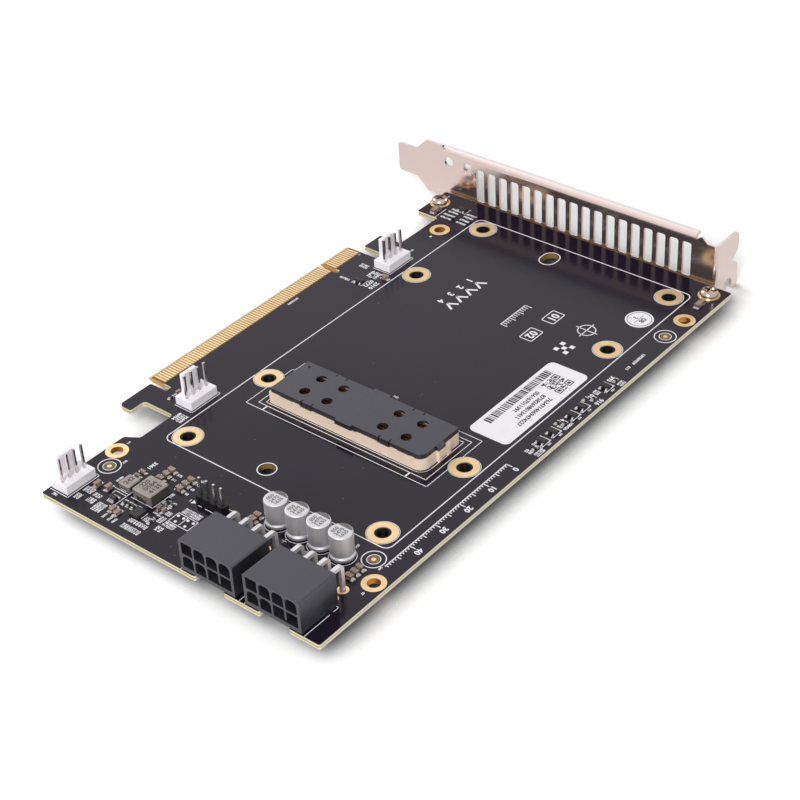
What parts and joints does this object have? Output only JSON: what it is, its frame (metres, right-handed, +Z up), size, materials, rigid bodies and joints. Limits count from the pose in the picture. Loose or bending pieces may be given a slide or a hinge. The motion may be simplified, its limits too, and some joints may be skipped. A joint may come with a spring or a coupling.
{
  "type": "expansion slot adapter card",
  "caption": "Flat expansion-slot adapter card with card-edge contacts, vented slot bracket, capped mezzanine connector, fan headers and rear power sockets.",
  "frame": {"origin": "middle of the whole card's bounding box, on its lowest level (the bracket flange's lower edge)", "axes": "+X from the slot bracket to the rear edge with the power sockets, +Y from the card-edge contacts to the opposite edge, +Z up out of the component face"},
  "size_m": [0.1962, 0.1262, 0.0218],
  "materials": {
    "solder_mask": "satin black-grey solder mask on glass laminate",
    "gold_plate": "satin gold plating",
    "plated_steel": "bright nickel-plated steel sheet",
    "black_steel": "black oxide",
    "screw_steel": "plain nickel plate",
    "natural_resin": "natural beige moulding resin",
    "black_resin": "fine matt moulded resin",
    "white_resin": "satin moulded nylon",
    "tin_plate": "satin tin plating",
    "can_aluminium": "clear-coated drawn aluminium",
    "seal_rubber": "matt",
    "ferrite": "matt pressed metal powder",
    "chip_epoxy": "matt moulded epoxy",
    "ceramic_tan": "satin fired ceramic",
    "label_paper": "matt white label stock"
  },
  "bodies": {
    "root": {"circuit_board": "solder_mask", "edge_contacts_top": "gold_plate", "edge_contacts_back": "gold_plate", "module_pads": "gold_plate", "plated_holes": "gold_plate", "screw_pads": "gold_plate", "threaded_inserts": "black_steel", "bracket": "plated_steel", "bracket_screws": "screw_steel", "mezzanine_body": "natural_resin", "mezzanine_contacts": "gold_plate", "mezzanine_cap": "black_resin", "power_housing_1": "black_resin", "power_housing_2": "black_resin", "power_pins_1": "tin_plate", "power_pins_2": "tin_plate", "fan_header_1": "white_resin", "fan_header_2": "white_resin", "fan_header_3": "white_resin", "fan_pins_1": "tin_plate", "fan_pins_2": "tin_plate", "fan_pins_3": "tin_plate", "pin_header": "black_resin", "pin_header_pins": "tin_plate", "capacitor_can_1": "can_aluminium", "capacitor_can_2": "can_aluminium", "capacitor_can_3": "can_aluminium", "capacitor_can_4": "can_aluminium", "capacitor_seals": "seal_rubber", "capacitor_leads": "tin_plate", "inductor_large": "ferrite", "inductor_large_terminals": "tin_plate", "inductor_small": "ferrite", "inductor_small_terminals": "tin_plate", "converter_chip": "chip_epoxy", "controller_chip": "chip_epoxy", "controller_leads": "tin_plate", "transistors": "chip_epoxy", "transistor_leads": "tin_plate", "ceramic_bodies": "ceramic_tan", "ceramic_ends": "tin_plate", "resistor_bodies": "chip_epoxy", "resistor_ends": "tin_plate", "label": "label_paper", "sticker": "label_paper"}
  },
  "joints": []
}
